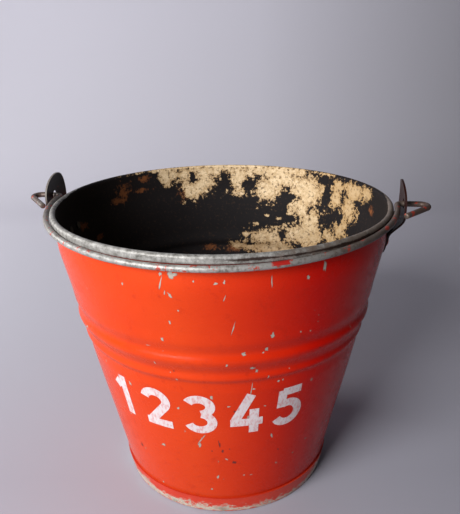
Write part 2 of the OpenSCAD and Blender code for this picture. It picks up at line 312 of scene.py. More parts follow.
# %% Where the lining has flaked
FLAKED = [  # bearing, height, half width in degrees, half height
    (165, 264, 25, 11), (160, 256, 17, 11), (150, 245, 11, 20), (152, 228, 5.5, 13),
    (168, 246, 9.5, 19), (183, 251, 6.5, 17), (200, 262, 13, 12), (198, 250, 6, 14),
    (204, 244, 4.5, 16), (190, 264, 12, 5), (124, 259, 9, 11), (133.5, 257, 5, 12), (125, 236, 6, 16),
    (134, 247, 3.6, 14), (128, 215, 5, 12), (145, 213, 7, 16), (148, 196, 13, 15), (166, 189, 10, 12),
    (164, 177, 24, 8), (134, 203, 5.5, 8), (215, 262, 3.4, 12), (211, 262, 2.6, 9), (114, 262, 5, 8),
    (168, 214, 1.5, 2), (162, 212, 1.7, 2.2), (173, 203, 1.7, 2.6), (207, 228, 0.9, 1.6),
    (185, 269, 47, 2), (157, 219, 2, 3), (178, 191, 2, 3),
]
KEPT = [
    (188.5, 251, 2.0, 12), (178, 247, 2.6, 6), (161, 232, 3.2, 10), (157.5, 237, 1.6, 4),
    (140, 262, 4.2, 5.5), (139.5, 249, 1.5, 11), (203, 257, 1.0, 5), (159.5, 193, 1.2, 8),
    (121, 248, 3, 2.5), (130, 226, 1.5, 7),
]
RUSTY = [
    (236, 253, 4.6, 12), (226, 250, 6, 3.4), (240, 244, 5, 4), (110, 247, 2.4, 7), (184, 174, 6, 6),
    (195, 175, 5, 5), (225, 262, 3, 5), (254, 215, 2.4, 4), (206, 240, 4, 12), (170, 176, 12, 6),
    (262, 232, 4, 5),
]


def ovals(places, bearing_, height_):
    """Height of the highest of several soft ovals: one less the distance from the middle,
    counted in half widths."""
    a, h, wide, tall = (np.array(column)[:, None, None] for column in zip(*places))
    return (1 - np.hypot((bearing_ - a) / wide, (height_ - h) / tall)).max(axis=0)


bearing = (np.degrees(angle) + 90) % 360
lined_rows = inward > 0.3             # from the bead's outer shoulder over and down inside
unrolled = bearing[lined_rows], z[lined_rows] / MM
flaked, rusty = np.full((2, *r.shape), -1.0)
flaked[lined_rows] = np.minimum(ovals(FLAKED, *unrolled), -ovals(KEPT, *unrolled))
rusty[lined_rows] = ovals(RUSTY, *unrolled)
add_values(wall, "flaked", np.clip(flaked, -1, 1))
add_values(wall, "rusty", np.clip(rusty, -1, 1))
print(f"{np.mean(flaked[lined_rows] > 0):.0%} of the lining has flaked")

# %% [markdown]
# The bail is one length of hand-bent wire. Its middle line is a set of arcs
# and straights in one plane: a big half ring, a tight bend out through each
# ear, and a hook with a free end. A curve object could follow the same points;
# worked out as arcs, each bend keeps the radius of the tool that made it.

# %% The bail's middle line
WIRE = 5.0 * MM
REST = math.radians(2.8)              # the bail leans on the front a little above level
RING = RIM_RADIUS + BEAD + 0.45 * MM + WIRE / 2
EYE_BEND = 5 * MM
HOOK_BEND = 6.5 * MM
HOOK_TURN = math.radians(131)
HOOK_END = 30.5 * MM
EAR_INSIDE = RING + WIRE / 2 + 3.4 * MM
EAR_SHEET = 1.6 * MM
EAR_OUTSIDE = EAR_INSIDE + EAR_SHEET
REACH_LEFT, REACH_RIGHT = 19.3 * MM, 20.7 * MM
eye_x = math.sqrt((RING + EYE_BEND) ** 2 - EYE_BEND ** 2)
eye_angle = math.asin(EYE_BEND / (RING + EYE_BEND))


def arc(cx, cy, radius, start, stop, count):
    """Points on a circle, angles in radians."""
    a = np.linspace(start, stop, count)
    return np.stack([cx + radius * np.cos(a), cy + radius * np.sin(a)], axis=-1)


def half_bail(reach):
    """One half of the line: a quarter of the big ring, the bend out through the ear, and the hook."""
    hook_x = EAR_OUTSIDE + reach - HOOK_BEND - WIRE / 2
    quarter = arc(0, 0, RING, math.pi / 2, eye_angle, 90)
    bend = arc(eye_x, EYE_BEND, EYE_BEND, math.pi + eye_angle, 1.5 * math.pi, 14)
    hook = arc(hook_x, HOOK_BEND, HOOK_BEND, -math.pi / 2, HOOK_TURN - math.pi / 2, 26)
    way = np.array([math.cos(HOOK_TURN), math.sin(HOOK_TURN)])
    tail = hook[-1] + np.linspace(0, HOOK_END, 12)[1:, None] * way
    return np.concatenate([quarter, bend[1:], hook, tail])


whole = np.concatenate([half_bail(REACH_LEFT)[:0:-1] * (-1, 1), half_bail(REACH_RIGHT)])
print(f"the bail's line has {len(whole)} points")

# %% [markdown]
# Drawn wire is round all along, also in its bends. So the line becomes a tube:
# a circle is carried along it, always square to the line. The line is flat, so
# the circle can't twist on the way. The cut ends are slightly rounded off.

# %% A tube along a flat line
TIP = 0.01 * MM                       # radius that closes each end


def tube(path, radius, around, bevel):
    """Carries a circle along a flat line: at each point the circle lies in the plane of
    the line's own sideways direction and the third axis. The ends narrow by the bevel."""
    ahead_ = np.gradient(path, axis=0)
    ahead_ /= np.linalg.norm(ahead_, axis=1, keepdims=True)
    side = np.stack([-ahead_[:, 1], ahead_[:, 0]], axis=-1)
    path = np.concatenate([path[:1], path[:1], path, path[-1:], path[-1:]])
    side = np.concatenate([side[:1], side[:1], side, side[-1:], side[-1:]])
    size = np.full(len(path), radius)
    size[[0, -1]] = TIP
    size[[1, -2]] = radius - bevel
    path[2] += ahead_[0] * bevel
    path[-3] -= ahead_[-1] * bevel
    turn_ = np.linspace(0, 2 * np.pi, around, endpoint=False)
    flat = path[:, None, :] + (size[:, None] * np.cos(turn_))[..., None] * side[:, None, :]
    rise = size[:, None] * np.sin(turn_)
    return np.concatenate([flat, rise[..., None]], axis=-1)


wire_grid = tube(whole, WIRE / 2, 22, 0.5 * MM)
plane_y, plane_up = -wire_grid[..., 1], wire_grid[..., 2]
bail_points = np.stack([
    wire_grid[..., 0],
    plane_y * math.cos(REST) - plane_up * math.sin(REST),
    HINGE_Z + plane_y * math.sin(REST) + plane_up * math.cos(REST),
], axis=-1).reshape(-1, 3)
bail = make_mesh("bail_wire", bail_points, grid_faces(*wire_grid.shape[:2], wrap_columns=True))
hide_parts("bail")
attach(bail, "bail")

# %% [markdown]
# Small things lie on the wall: numbers, chips and stains. Each is drawn flat,
# in millimetres, on the unrolled wall and then wrapped round it, a hair above
# the paint. A picture could be laid on the wall instead, but thin pieces keep
# a crisp edge at any distance.

# %% Wrap a flat drawing round the wall


def on_wall(flat, bearing_, lift):
    """Wraps points (sideways, height; millimetres) round the wall at a bearing in degrees:
    sideways over the radius is an angle, and the point stands off the sheet by the lift."""
    z_ = flat[..., 1] * MM
    a = np.radians(bearing_ - 90) + flat[..., 0] * MM / cone_radius(z_)
    r_ = sheet_radius(z_) + dents(a, z_) + lift
    return np.stack([r_ * np.cos(a), r_ * np.sin(a), z_], axis=-1)


def join_grids(grids):
    """Points and faces of several separate grids, numbered on from one to the next."""
    first = np.cumsum([0] + [g.shape[0] * g.shape[1] for g in grids])
    points = np.concatenate([g.reshape(-1, 3) for g in grids])
    faces = np.concatenate([grid_faces(*g.shape[:2]) + n for g, n in zip(grids, first)])
    return points, faces


print("front of the wall, 120 mm up:", on_wall(np.array([0.0, 120.0]), 0, 0).round(4))

# %% [markdown]
# Plain white numbers run across the front. A font would look too regular for
# brushed work, so each number is a few strokes of the brush: straight lines
# and parts of ellipses, in millimetres, from its own middle and foot.

# %% Strokes of the numbers
DIGIT_HIGH = 42.0
STROKE = 8.0                          # width of the brush


def line_points(points, step=2.0):
    """Points every step along straight lines through the given corners."""
    parts = []
    for a, b in zip(points[:-1], points[1:]):
        a, b = np.array(a, float), np.array(b, float)
        count = max(2, int(np.hypot(*(b - a)) / step) + 1)
        parts.append(a + (b - a) * np.linspace(0, 1, count)[:, None])
    joined = np.concatenate(parts)
    return joined[np.r_[True, np.any(np.diff(joined, axis=0) != 0, axis=1)]]


def bow(cx, cy, rx, ry, start, stop):
    """Part of an ellipse, angles in degrees."""
    a = np.radians(np.linspace(start, stop, 26))
    return np.stack([cx + rx * np.cos(a), cy + ry * np.sin(a)], axis=-1)


HALF = STROKE / 2
TOP = DIGIT_HIGH - HALF
STROKES = {
    "1": [line_points([(2, 0), (2, DIGIT_HIGH)]), line_points([(-7.5, TOP - 9), (-1, TOP - 2)])],
    "2": [np.concatenate([bow(0, TOP - 9, 10, 9, 170, -38), line_points([(7.5, 23), (-8.5, HALF)])]),
          line_points([(-12, HALF), (12.5, HALF)])],
    "3": [bow(-1.5, TOP - 8, 9.6, 8, 155, -80), bow(-1.5, HALF + 9, 10.4, 9, 80, -155)],
    "4": [line_points([(3.5, DIGIT_HIGH), (-9.8, 13)]), line_points([(-13, 12), (14, 12)]),
          line_points([(6.5, 0), (6.5, 26)])],
    "5": [line_points([(-7.8, TOP), (9.5, TOP)]), line_points([(-7.8, TOP + 2), (-7.8, 21.5)]),
          bow(-1.8, 15.0, 10.4, 10.8, 118, -150)],
}
print("strokes in each number:", {digit: len(paths) for digit, paths in STROKES.items()})

# %% [markdown]
# A stroke is a flat ribbon of paint: its middle line widened sideways. Where
# two strokes of a number cross, the later one lies a little higher, so that
# the two never fight for the same place.

# %% Paint the numbers on the wall
NUMBERS = [("1", -34.5), ("2", -18.0), ("3", 0.3), ("4", 17.5), ("5", 35.0)]  # bearings in degrees
NUMBER_BASE = 100.5
NUMBER_LIFT = 0.12 * MM
COAT = 0.02 * MM                      # how much higher each later stroke lies


def ribbon(path, width, rows=5):
    """A strip about a flat line: each point is carried sideways, square to the line."""
    way_ = np.gradient(path, axis=0)
    way_ /= np.linalg.norm(way_, axis=1, keepdims=True)
    side = np.stack([-way_[:, 1], way_[:, 0]], axis=-1)
    offset = np.linspace(-width / 2, width / 2, rows)
    return path[:, None, :] + offset[None, :, None] * side[:, None, :]


strips = []
for digit, bearing_ in NUMBERS:
    for layer, path in enumerate(STROKES[digit]):
        flat = ribbon(path, STROKE) + (0, NUMBER_BASE)
        strips.append(on_wall(flat, bearing_, NUMBER_LIFT + COAT * layer))
numbers = make_mesh("painted_numbers", *join_grids(strips), flip=True)
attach(numbers, "bucket")

# %% [markdown]
# Knocks have chipped the paint down to grey zinc, and tar has splashed it.
# Noise could scatter both, but the larger marks on the front stand roughly where they do on the real one:
# they were picked in the photograph, and the fitted camera gave bearings and heights. The larger ones on the
# sides and the back are made up.

# %% Where the chips and stains are
CHIPS = [  # bearing, height, half width, half height; the last three in millimetres
    (-7.5, 253.5, 1.3, 1.3), (-7.7, 246, 0.5, 6), (-4.3, 253.5, 3, 3.2), (-5.2, 237, 0.9, 2.6),
    (-6.7, 239, 0.4, 2.2), (-20, 241, 0.8, 1.1), (1.7, 249.5, 0.7, 0.8), (7.7, 248, 1.3, 1.1),
    (10, 249, 0.7, 1.6), (10, 236, 0.3, 3), (23, 247, 0.4, 5), (34, 246, 1.3, 1.6),
    (39.5, 252, 1.2, 4.6), (-6.5, 213, 0.8, 1.6), (-9.8, 196.5, 1, 1.8), (24.7, 199.5, 1.7, 2.1),
    (12.4, 209, 0.4, 5.5), (34.3, 198, 0.7, 0.8), (38, 196.5, 0.6, 0.7), (15.8, 184, 1.8, 1.6),
    (23.3, 186.5, 1.3, 2.1), (22.3, 183.5, 0.7, 0.8), (10.3, 175.5, 0.9, 1.3), (18.8, 170, 1.8, 1.6),
    (20.5, 166, 1.1, 1.6), (-7, 158, 0.8, 1.1), (24.6, 159, 0.5, 1.6), (29, 151.5, 1.1, 1.1),
    (30.7, 152, 0.6, 1), (19, 148, 0.4, 6), (43.7, 142.5, 0.9, 1.6), (4.2, 135.5, 1, 1.3),
    (17.2, 134.5, 1.7, 1.6), (-29, 138.5, 1.1, 2.1), (-43, 148, 0.5, 1), (-62, 252, 1.2, 3),
    (-1.5, 86, 1.4, 2.7), (-0.5, 93, 0.5, 7), (-19, 76.5, 2, 1.4), (33.1, 54.8, 0.8, 1),
    (17.6, 47.5, 1, 0.6), (21, 46.8, 1.1, 0.5), (2.1, 29.8, 1, 1), (-25.6, 22.2, 1, 1),
    (96, 240, 2.2, 3), (121, 176, 2.4, 1.6), (147, 214, 1.6, 4), (172, 178, 2.2, 1.7),
    (203, 120, 1.6, 2.4), (228, 252, 2.6, 2.8), (251, 176, 2.0, 1.4), (284, 232, 1.4, 3),
    (311, 178, 1.6, 1.2), (160, 60, 2.4, 1.6),
]
STAINS = [
    (8, 79.5, 1, 1.6), (3.5, 79.5, 0.6, 0.7), (6.8, 88, 0.8, 3.2), (11, 82, 0.6, 0.7),
    (13, 65, 1.5, 1.8), (33, 72, 0.8, 0.8), (13, 125.5, 0.9, 0.9), (141, 95, 2, 3), (214, 198, 1.5, 4),
    (266, 88, 2.4, 2),
]
print(f"{len(CHIPS)} chips and {len(STAINS)} stains are listed")

# %% [markdown]
# A chip is a small disc with an uneven edge. A square grid becomes a disc
# when each row is drawn in by its distance from the middle, which leaves no
# pole of crowded points. Small random chips and stains go all round.

# %% Chips and stains
CHIP_LIFT = 0.07 * MM
rng = np.random.default_rng(8)


def scattered(count, size):
    """Random places all round: even in bearing and height, sizes mostly small."""
    spots = rng.uniform((0, 26, 0.3, 0.3), (360, 250, 1, 1), (count, 4))
    spots[:, 2:] = size * spots[:, 2:] ** 2 * rng.uniform(0.8, (1.4, 2.6), (count, 2))
    return spots.tolist()


def uneven_discs(places, fineness=9):
    """One grid for each place. With u and v from -1 to 1, u times the root of (1 - v v / 2)
    and v times the root of (1 - u u / 2) fill a disc; waves in its radius make the edge uneven."""
    u, v = np.meshgrid(np.linspace(-1, 1, fineness), np.linspace(-1, 1, fineness))
    x, y = u * np.sqrt(1 - v * v / 2), v * np.sqrt(1 - u * u / 2)
    around = np.arctan2(y, x)
    out = np.hypot(x, y)
    grids, edges = [], []
    for bearing_, height_, wide, tall in places:
        amount, phase = rng.uniform(0.05, 0.22, 4), rng.uniform(0, 2 * math.pi, 4)
        waves = 1 + sum(amount[k] * np.sin((k + 2) * around + phase[k]) for k in range(4))
        lean = rng.normal(0, 0.22)
        sideways, upward = x * waves * wide, y * waves * tall
        flat = np.stack([sideways * math.cos(lean) - upward * math.sin(lean),
                         height_ + sideways * math.sin(lean) + upward * math.cos(lean)], axis=-1)
        grids.append(on_wall(flat, bearing_, CHIP_LIFT))
        edges.append(out.ravel())
    return grids, np.concatenate(edges)


chip_grids, chip_edges = uneven_discs(CHIPS + scattered(110, 1.3))
chips = make_mesh("paint_chips", *join_grids(chip_grids))
add_values(chips, "out", chip_edges)
stain_grids, _ = uneven_discs(STAINS + scattered(30, 1.2))
stains = make_mesh("paint_stains", *join_grids(stain_grids))
for piece in (chips, stains):
    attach(piece, "bucket")

# %% [markdown]
# Colours are written as the hex values that a paint chart gives. Blender works
# with linear light, so one function converts them. A noise is given by the
# size of its grains in millimetres. Grit, scratches and spangle are finer than
# the picture can show, so theirs are drawn two to six millimetres wide.

# %% Colours and grains


def linear(hex_colour):
    """Turns an sRGB hex colour into linear red, green, blue and alpha."""
    s = np.array([int(hex_colour[i:i + 2], 16) for i in (1, 3, 5)]) / 255
    rgb = np.where(s <= 0.04045, s / 12.92, ((s + 0.055) / 1.055) ** 2.4)
    return (*rgb.tolist(), 1.0)


def grain(size):
    """Scale of a noise with grains of a size in millimetres: how many fit in a metre."""
    return 1 / (size * MM)


print(f"mid grey, #808080, is {linear('#808080')[0]:.3f} in linear light")

# %% [markdown]
# A finish is built from small nodes, and one function adds a node of any
# kind. Most used are Mix, which lays one colour over another by an amount,
# and MapRange, whose four numbers are where a change starts and ends and what
# it gives at each end.

# %% Materials and nodes


def new_material(name):
    """An empty node material, with its shader joined to its output, and the place of each point."""
    material = bpy.data.materials.new(name)
    material.use_nodes = True
    tree = material.node_tree
    tree.nodes.clear()
    output = tree.nodes.new("ShaderNodeOutputMaterial")
    shader = tree.nodes.new("ShaderNodeBsdfPrincipled")
    tree.links.new(shader.outputs["BSDF"], output.inputs["Surface"])
    place = tree.nodes.new("ShaderNodeTexCoord").outputs["Object"]
    print("finish:", name)
    return material, tree, shader, place


def feed(node, *values, **named):
    """Feeds a node's inputs: values go to its open ones in order, named ones by name, with _ for
    a space. A socket is linked, a node stands for its first open output, and the rest is set."""
    sockets = [socket for socket in node.inputs if socket.enabled][:len(values)]
    sockets += [node.inputs[name.replace("_", " ")] for name in named]
    for socket, value in zip(sockets, [*values, *named.values()]):
        if isinstance(value, bpy.types.Node):
            value = next(output for output in value.outputs if output.enabled)
        if isinstance(value, bpy.types.NodeSocket):
            node.id_data.links.new(value, socket)
        else:
            socket.default_value = value


def add(tree, kind, *values, **named):
    """Adds one node. Names in lower case are its settings, and all else feeds its inputs."""
    node = tree.nodes.new("ShaderNode" + kind)
    for name in [name for name in named if name.islower()]:
        setattr(node, name, named.pop(name))
    feed(node, *values, **named)
    return node


print("plain slots of the frame:", ", ".join(bpy.data.materials.keys()))

# %% [markdown]
# The outside is red enamel brushed over hot-dip zinc: a soft gloss with darker scuffs. Painted shade turns
# it a deeper, darker red on the right, the side away from the lamps. It also darkens the wall in ragged
# patches towards the right ear, and lays a dark band just above the foot hoop, in the crease at the hoop's
# top. All faces of the sheet share one material, told apart by the numbers stored on the points, so that the
# finishes can run into each other.

# %% Wall finish: red enamel outside
wall_material, tree, shader, place = new_material("red_enamel_and_black_lining_on_zinc")
place_x, place_y, place_z = add(tree, "SeparateXYZ", place).outputs
on_bead, turned_in, flaked_at, rusty_at = (
    add(tree, "Attribute", attribute_name=name).outputs["Fac"]
    for name in ("bead", "inward", "flaked", "rusty")
)
broad = add(tree, "TexNoise", place, Scale=grain(62.5), Detail=4.0, Roughness=0.55)
fine = add(tree, "TexNoise", place, Scale=grain(3.3333), Detail=5.0, Roughness=0.65)
ragged = add(tree, "TexNoise", place, Scale=grain(11.765), Detail=9.0, Roughness=0.72)
red = add(tree, "Mix", broad, linear("#C0340F"), linear("#D04217"), data_type="RGBA")
# painted shade: a deeper, darker red towards the right, the side turned away from the lamps
painted_shade_red_right = add(tree, "MapRange", place_x, -10 * MM, 90 * MM, 0.0, 1.0)
scuff = add(tree, "MapRange", ragged, 0.56, 0.72, 0.0, 0.4)
# painted shade: ragged dark patches towards the right ear, on the side away from the lamps
painted_shade_by_ear = add(tree, "MapRange", place_x, 110 * MM, 150 * MM, -0.25, 0.12)
painted_shade_by_ear = add(tree, "Math", ragged, painted_shade_by_ear, operation="ADD")
painted_shade_by_ear = add(tree, "MapRange", painted_shade_by_ear, 0.5, 0.66, 0.0, 0.75)
# painted shade: a dark band just above the foot hoop, in the crease at its top
painted_crease_shade_above_hoop = add(tree, "MapRange", place_z, HOOP_TOP, HOOP_TOP + 6 * MM, 0.18, 0.0)
for amount, tone in ((painted_shade_red_right, "#C01206"), (scuff, "#8E1A0C"), (painted_shade_by_ear, "#301210"), (painted_crease_shade_above_hoop, "#4A130C")):
    red = add(tree, "Mix", amount, red, linear(tone), data_type="RGBA")
print("red enamel:", len(tree.nodes), "nodes so far")

# %% [markdown]
# The rim bead is rubbed back to mottled zinc. Dirt has settled on its right
# and far side, and at the right a dark streak runs along its outer side, at
# one height. It is made from the distance to that height, which noise makes
# ragged. The red just below the bead lies in its shade and is nearly black.

# %% Wall finish: rubbed rim bead
STREAK_Z = 266.6 * MM
SHADE_FROM, SHADE_TO = 260.5 * MM, 262.5 * MM
mottle = add(tree, "TexNoise", place, Scale=grain(5.2632), Detail=8.0, Roughness=0.8)
mottle = add(tree, "MapRange", mottle, 0.36, 0.64, 0.0, 1.0)
zinc = add(tree, "Mix", mottle, linear("#625F5A"), linear("#B4B2AE"), data_type="RGBA")
to_right = add(tree, "MapRange", place_x, 10 * MM, 130 * MM, -0.15, 0.3)
to_back = add(tree, "MapRange", place_y, 0.0, 100 * MM, 0.0, 0.16)
dirt = add(tree, "Math", ragged, to_right, operation="ADD")
dirt = add(tree, "Math", dirt, to_back, operation="ADD")
dirt = add(tree, "MapRange", dirt, 0.56, 0.74, 0.0, 0.8)
zinc = add(tree, "Mix", dirt, zinc, linear("#6A5A4E"), data_type="RGBA")
off_line = add(tree, "Math", place_z, STREAK_Z, operation="SUBTRACT")
off_line = add(tree, "Math", off_line, operation="ABSOLUTE")
off_line = add(tree, "Math", ragged, 6 * MM, off_line, operation="MULTIPLY_ADD")
streak = add(tree, "MapRange", off_line, 3.8 * MM, 4.5 * MM, 0.95, 0.0)
on_right = add(tree, "MapRange", place_x, 15 * MM, 35 * MM, 0.0, 1.0)
streak = add(tree, "Math", streak, on_right, operation="MULTIPLY")
zinc = add(tree, "Mix", streak, zinc, linear("#33241F"), data_type="RGBA")
shade = add(tree, "MapRange", place_z, SHADE_FROM, SHADE_TO, 0.0, 0.9)
red = add(tree, "Mix", shade, red, linear("#241512"), data_type="RGBA")
outside = add(tree, "Mix", on_bead, red, zinc, data_type="RGBA")
print("rim bead:", len(tree.nodes), "nodes so far")

# %% [markdown]
# The inside is bitumen paint, dull black. Where it has flaked, sand-coloured
# scale shows, with dark specks, and browner at the edge of a patch, low down
# and at the right. A brown line runs round each patch. Two noises are added to
# the stored ovals, so that their soft edges turn ragged and crumbly.

# %% Wall finish: flaking black lining
crumbs = add(tree, "TexNoise", place, Scale=grain(3.0303), Detail=6.0, Roughness=0.7)
ragged_edge = add(tree, "Math", ragged, 3.2, -2.95, operation="MULTIPLY_ADD")
ragged_edge = add(tree, "Math", crumbs, 2.4, ragged_edge, operation="MULTIPLY_ADD")
flaked_edge = add(tree, "Math", flaked_at, ragged_edge, operation="ADD")
patch = add(tree, "MapRange", flaked_edge, 0.0, 0.04, 0.0, 1.0)
halo = add(tree, "MapRange", flaked_edge, -0.16, 0.02, 0.0, 0.7)
specks = add(tree, "MapRange", fine, 0.555, 0.62, 0.0, 0.72)
sand = add(tree, "Mix", mottle, linear("#C4A77F"), linear("#EDD4AF"), data_type="RGBA")
thin = add(tree, "MapRange", flaked_edge, 0.04, 0.6, 0.6, 0.0)
sand_low = add(tree, "MapRange", place_z, 170 * MM, 205 * MM, 0.5, 0.0)
sand_right = add(tree, "MapRange", place_x, 60 * MM, 110 * MM, 0.0, 0.55)
for amount, tone in ((thin, "#97713F"), (sand_low, "#8A6238"), (sand_right, "#9C7846"), (specks, "#4A3626")):
    sand = add(tree, "Mix", amount, sand, linear(tone), data_type="RGBA")
lining = add(tree, "Mix", broad, linear("#141213"), linear("#221E1F"), data_type="RGBA")
flecks = add(tree, "MapRange", crumbs, 0.56, 0.7, 0.0, 0.45)
rust_edge = add(tree, "Math", rusty_at, ragged_edge, operation="ADD")
rust = add(tree, "MapRange", rust_edge, -0.05, 0.5, 0.0, 0.8)
for amount, tone in ((flecks, "#4A3628"), (rust, "#86502E"), (halo, "#5E452C")):
    lining = add(tree, "Mix", amount, lining, linear(tone), data_type="RGBA")
lining = add(tree, "Mix", patch, lining, sand, data_type="RGBA")
print("lining:", len(tree.nodes), "nodes so far")

# %% [markdown]
# The lining ends on the bead: near its inner edge along the front, and nearly
# at its top along the back. The sheet's two finishes meet there, in a wavy
# line. Enamel is smooth and mirrors a little, rubbed zinc is duller and partly
# metal, and bitumen is dullest.

# %% Wall finish: put the parts together
lined_from = add(tree, "MapRange", place_y, -10 * MM, 30 * MM, 0.9, 0.5)
wavy = add(tree, "Math", ragged, 0.5, turned_in, operation="MULTIPLY_ADD")
wavy = add(tree, "Math", wavy, 0.25, operation="SUBTRACT")
over = add(tree, "Math", wavy, lined_from, operation="SUBTRACT")
lined = add(tree, "MapRange", over, -0.02, 0.04, 0.0, 1.0)
colour = add(tree, "Mix", lined, outside, lining, data_type="RGBA")
metal = add(tree, "Math", on_bead, lined, operation="SUBTRACT", use_clamp=True)
metal = add(tree, "Math", metal, 0.35, operation="MULTIPLY")
rough_red = add(tree, "MapRange", ragged, 0.3, 0.75, 0.15, 0.38)
rough_rim = add(tree, "Mix", on_bead, rough_red, 0.5)
rough = add(tree, "Mix", lined, rough_rim, 0.72)
height = add(tree, "Math", fine, 0.4, ragged, operation="MULTIPLY_ADD")
bump = add(tree, "Bump", Height=height, Strength=0.35, Distance=0.5 * MM)
feed(shader, Base_Color=colour, Metallic=metal, Roughness=rough, Normal=bump)
feed(shader, IOR=1.45, Specular_IOR_Level=0.14)
wall.data.materials.append(wall_material)
print("whole wall:", len(tree.nodes), "nodes")

# %% [markdown]
# The bail wire is hot-dip zinc too, dull and mottled. It is bright where it
# lies across the front, brown with dirt towards the ears and on the hooks, and
# spotted with red from the brush. One red patch sits on its top at the front
# right. All of it is placed where the wire lies at rest, and swings with it.

# %% Zinc wire finish
BRUSHED_X = 64.5 * MM                 # middle of the red patch
WIRE_TOP = 262.0 * MM, 262.6 * MM     # heights between which it fades in
wire_material, tree, shader, place = new_material("worn_hot_dip_zinc_wire")
place_x, _, place_z = add(tree, "SeparateXYZ", place).outputs
mottle = add(tree, "TexNoise", place, Scale=grain(5.8824), Detail=8.0, Roughness=0.8)
spread = add(tree, "MapRange", mottle, 0.36, 0.64, 0.0, 1.0)
zinc = add(tree, "Mix", spread, linear("#5F5852"), linear("#B9B8B4"), data_type="RGBA")
to_ear = add(tree, "Math", place_x, operation="ABSOLUTE")
near_ear = add(tree, "MapRange", to_ear, 90 * MM, 155 * MM, 0.0, 0.2)
right_side = add(tree, "MapRange", place_x, 10 * MM, 100 * MM, 0.0, 0.13)
dirt = add(tree, "Math", mottle, near_ear, operation="ADD")
dirt = add(tree, "Math", dirt, right_side, operation="ADD")
dirt = add(tree, "MapRange", dirt, 0.58, 0.74, 0.0, 0.9)
hooked = add(tree, "MapRange", to_ear, EAR_OUTSIDE + 1 * MM, EAR_OUTSIDE + 7 * MM, 0.0, 0.75)
spots = add(tree, "TexNoise", place, Scale=grain(6.6667), Detail=4.0, Roughness=0.6)
spots = add(tree, "MapRange", spots, 0.6, 0.63, 0.0, 0.9)
from_patch = add(tree, "Math", place_x, BRUSHED_X, operation="SUBTRACT")
from_patch = add(tree, "Math", from_patch, operation="ABSOLUTE")
from_patch = add(tree, "Math", mottle, 12 * MM, from_patch, operation="MULTIPLY_ADD")
patch = add(tree, "MapRange", from_patch, 11.5 * MM, 12.5 * MM, 0.95, 0.0)
on_top = add(tree, "MapRange", place_z, *WIRE_TOP, 0.0, 1.0)
patch = add(tree, "Math", patch, on_top, operation="MULTIPLY")
for amount, tone in ((dirt, "#524137"), (hooked, "#57443C"), (spots, "#B23A26"), (patch, "#B81508")):
    zinc = add(tree, "Mix", amount, zinc, linear(tone), data_type="RGBA")
bump = add(tree, "Bump", Height=mottle, Strength=0.35, Distance=0.5 * MM)
feed(shader, Base_Color=zinc, Metallic=0.35, Roughness=0.48, Normal=bump)
bail.data.materials.append(wire_material)

# %% [markdown]
# The numbers are thin white enamel, brushed on and rubbed since. Fine worn
# spots, made by noise slightly drawn out along Z, let the red through. A chip
# shows dull grey zinc with a thin rusty edge, and a stain is a glossless film
# of tar, darker than the red.

# %% Numbers, chips and stains
white_material, tree, shader, place = new_material("brushed_white_enamel")
drawn_out = add(tree, "VectorMath", place, (1.0, 1.0, 0.45), operation="MULTIPLY")
scratch = add(tree, "TexNoise", drawn_out, Scale=grain(2.3256), Detail=6.0, Roughness=0.7)
worn = add(tree, "MapRange", scratch, 0.47, 0.66, 0.0, 0.8)
cloud = add(tree, "TexNoise", place, Scale=grain(22.222), Detail=5.0)
white = add(tree, "Mix", cloud, linear("#C6BABB"), linear("#DDD2D3"), data_type="RGBA")
white = add(tree, "Mix", worn, white, linear("#C46A66"), data_type="RGBA")
feed(shader, Base_Color=white, Roughness=0.5)
numbers.data.materials.append(white_material)

chip_material, tree, shader, place = new_material("bare_zinc_in_paint_chips")
out = add(tree, "Attribute", attribute_name="out").outputs["Fac"]
mottle = add(tree, "TexNoise", place, Scale=grain(2.8571), Detail=5.0, Roughness=0.7)
zinc = add(tree, "Mix", mottle, linear("#7C756A"), linear("#BFB9AC"), data_type="RGBA")
edge = add(tree, "MapRange", out, 0.72, 0.95, 0.0, 0.7)
zinc = add(tree, "Mix", edge, zinc, linear("#7C2C1B"), data_type="RGBA")
feed(shader, Base_Color=zinc, Roughness=0.55)
chips.data.materials.append(chip_material)

stain_material, tree, shader, place = new_material("dark_tar_stains")
mottle = add(tree, "TexNoise", place, Scale=grain(3.3333), Detail=5.0, Roughness=0.7)
tar = add(tree, "Mix", mottle, linear("#3A120D"), linear("#8A2214"), data_type="RGBA")
feed(shader, Base_Color=tar, Roughness=0.5)
stains.data.materials.append(stain_material)

# %% [markdown]
# The foot hoop was painted with the body. Its lower edge has been dragged over
# floors for years, so the paint ends in a ragged line a few millimetres up,
# highest a little left of the middle and again at both sides. Pale zinc and
# cream primer show below, with some paint left at the very edge. The line is a
# height worked out from X, which noise makes ragged.

# %% Foot hoop finish
MOST_WORN_X = -35 * MM
WEAR_WAVE = 35 * MM                   # how far noise could move the line at most
hoop_material, tree, shader, place = new_material("red_enamel_worn_to_primer")
place_x, _, place_z = add(tree, "SeparateXYZ", place).outputs
ragged = add(tree, "TexNoise", place, Scale=grain(13.333), Detail=8.0, Roughness=0.72)
mottle = add(tree, "TexNoise", place, Scale=grain(3.8462), Detail=6.0, Roughness=0.7)
red = add(tree, "Mix", ragged, linear("#B4260E"), linear("#D43A18"), data_type="RGBA")
